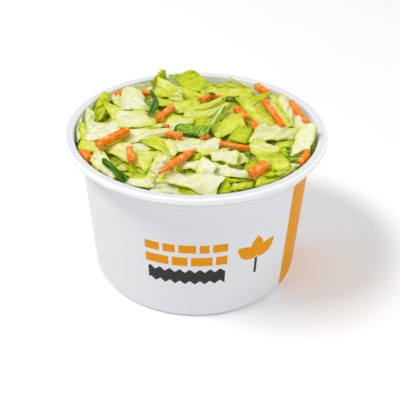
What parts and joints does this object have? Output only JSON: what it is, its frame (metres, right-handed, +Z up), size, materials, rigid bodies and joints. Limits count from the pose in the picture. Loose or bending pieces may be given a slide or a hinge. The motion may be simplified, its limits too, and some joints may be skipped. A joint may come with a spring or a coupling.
{
  "type": "cup of coleslaw",
  "caption": "Heap of chopped cabbage slaw with carrot sticks and greens in a round, tapered white paper cup with a rolled rim.",
  "frame": {"origin": "centre of the foot ring, on the table", "axes": "+Z up through the cup's axis, +X to the right as seen from the printed front, -Y towards that front"},
  "size_m": [0.098, 0.098, 0.0673],
  "materials": {
    "cup_paper": "smooth coated white board, semi-gloss, with a plain orange and dark print",
    "base_paper": "smooth coated white board, matt underneath",
    "slaw": "fresh cut cabbage, carrot and greens, moist and slightly glossy"
  },
  "bodies": {
    "root": {"cup": "cup_paper", "cup_base": "base_paper", "slaw": "slaw"}
  },
  "joints": []
}
